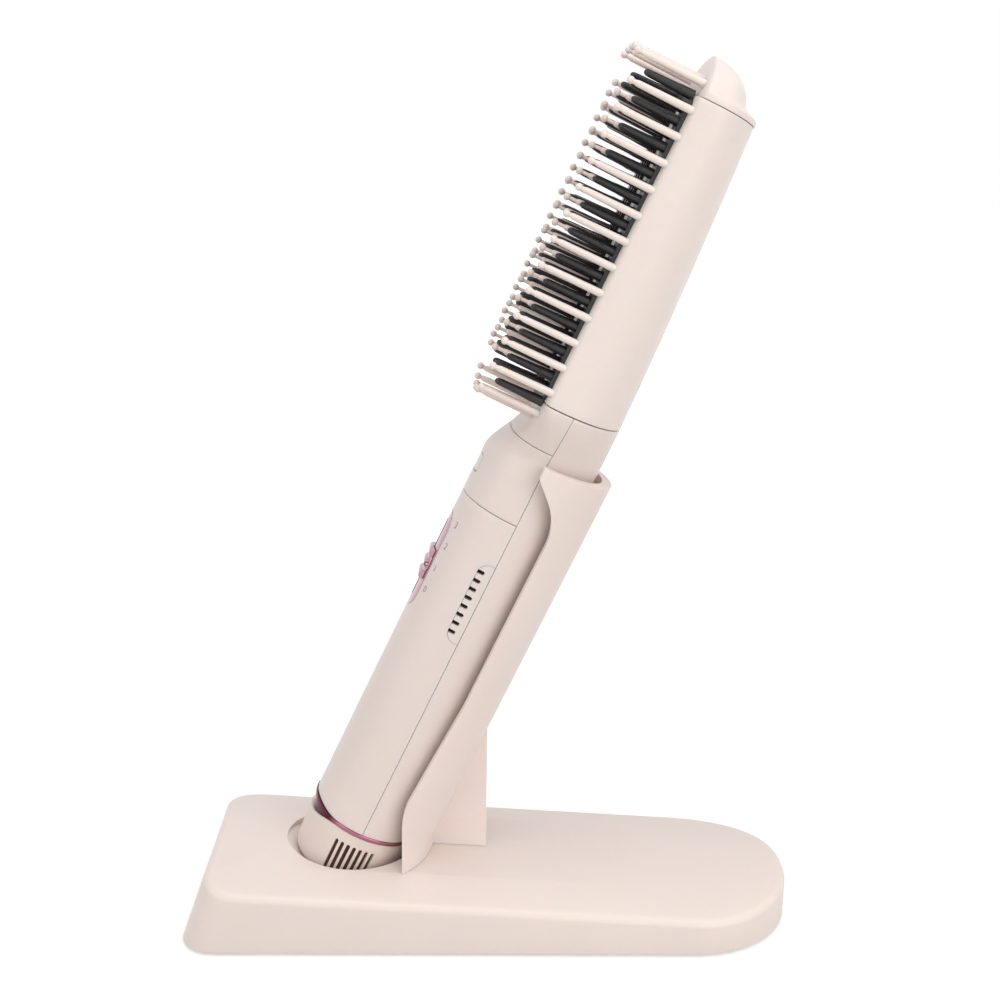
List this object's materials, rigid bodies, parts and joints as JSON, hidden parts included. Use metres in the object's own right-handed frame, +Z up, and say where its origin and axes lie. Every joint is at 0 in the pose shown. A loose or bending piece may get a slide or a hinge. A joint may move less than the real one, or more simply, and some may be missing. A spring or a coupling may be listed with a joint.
{
  "type": "hair straightening brush",
  "caption": "Cordless hair straightening brush with heated teeth and ball-tip pins, leaning in a tall curved cradle on a long, low charging dock.",
  "frame": {"origin": "on the table under the middle of the dock's outline", "axes": "+X along the dock to its low round end, +Y across the dock, +Z up"},
  "size_m": [0.22, 0.08, 0.31],
  "materials": {
    "dock_shell": "satin",
    "dock_plate": "matte",
    "rubber_feet": "matte",
    "ballast_steel": "matte",
    "board_green": "satin",
    "inlet_metal": "satin",
    "screw_steel": "satin",
    "control_black": "satin",
    "contact_gold": "polished",
    "liner_pad": "matte",
    "handle_shell": "satin",
    "foot_shell": "satin",
    "rose_chrome": "polished",
    "rose_metallic": "polished",
    "filter_dark": "matte",
    "lens_clear": "polished",
    "cell_wrap": "satin",
    "tray_white": "matte",
    "head_plastic": "satin",
    "pin_pink": "satin",
    "heater_silver": "satin",
    "tooth_black": "satin",
    "heater_ceramic": "matte",
    "lead_red": "satin"
  },
  "bodies": {
    "dock": {"dock_top_shell": "dock_shell", "dock_base_plate": "dock_plate", "dock_feet": "rubber_feet", "dock_ballast": "ballast_steel", "dock_board": "board_green", "power_inlet": "inlet_metal", "dock_screws": "screw_steel", "contact_block": "control_black", "dock_contacts": "contact_gold", "cradle_spine": "dock_shell", "cradle_screws": "screw_steel", "cradle_pads": "liner_pad"},
    "brush": {"handle_front_shell": "handle_shell", "handle_rear_shell": "handle_shell", "switch_cover": "handle_shell", "neck_front": "handle_shell", "neck_rear": "handle_shell", "accent_ring": "rose_chrome", "foot_cap": "foot_shell", "foot_contacts": "contact_gold", "vent_left": "handle_shell", "vent_right": "handle_shell", "vent_filters": "filter_dark", "slider_track": "rose_metallic", "indicator_lens": "lens_clear", "control_board": "board_green", "slide_control": "control_black", "button_switch": "control_black", "battery_cells": "cell_wrap", "battery_tray": "tray_white", "cover_screws": "screw_steel", "head_shell": "head_plastic", "rod_rail_left": "head_plastic", "rod_rail_right": "head_plastic", "head_end_cap": "head_plastic", "heater_plate": "heater_silver", "comb_frame": "tooth_black", "tooth_bar_middle": "tooth_black", "tooth_bar_inner_left": "tooth_black", "tooth_bar_inner_right": "tooth_black", "tooth_bar_outer_left": "tooth_black", "tooth_bar_outer_right": "tooth_black", "pin_strip_middle": "pin_pink", "pin_strip_left": "pin_pink", "pin_strip_right": "pin_pink", "heater_bars": "heater_ceramic", "heater_carrier": "heater_ceramic", "heater_leads": "lead_red"},
    "slider": {"heat_slider": "rose_metallic"},
    "button": {"power_button": "handle_shell"}
  },
  "joints": [
    {"name": "brush_lift", "type": "slide", "parent": "dock", "child": "brush", "axis": [0.4179, 0, 0.9085], "range_m": [0, 0.185]},
    {"name": "heat_slide", "type": "slide", "parent": "brush", "child": "slider", "axis": [0.4179, 0, 0.9085], "range_m": [-0.008, 0.014]},
    {"name": "power_press", "type": "slide", "parent": "brush", "child": "button", "axis": [0.9085, 0, -0.4179], "range_m": [0, 0.0006], "stiffness_N_per_m": 700, "springref_m": -0.0005}
  ]
}
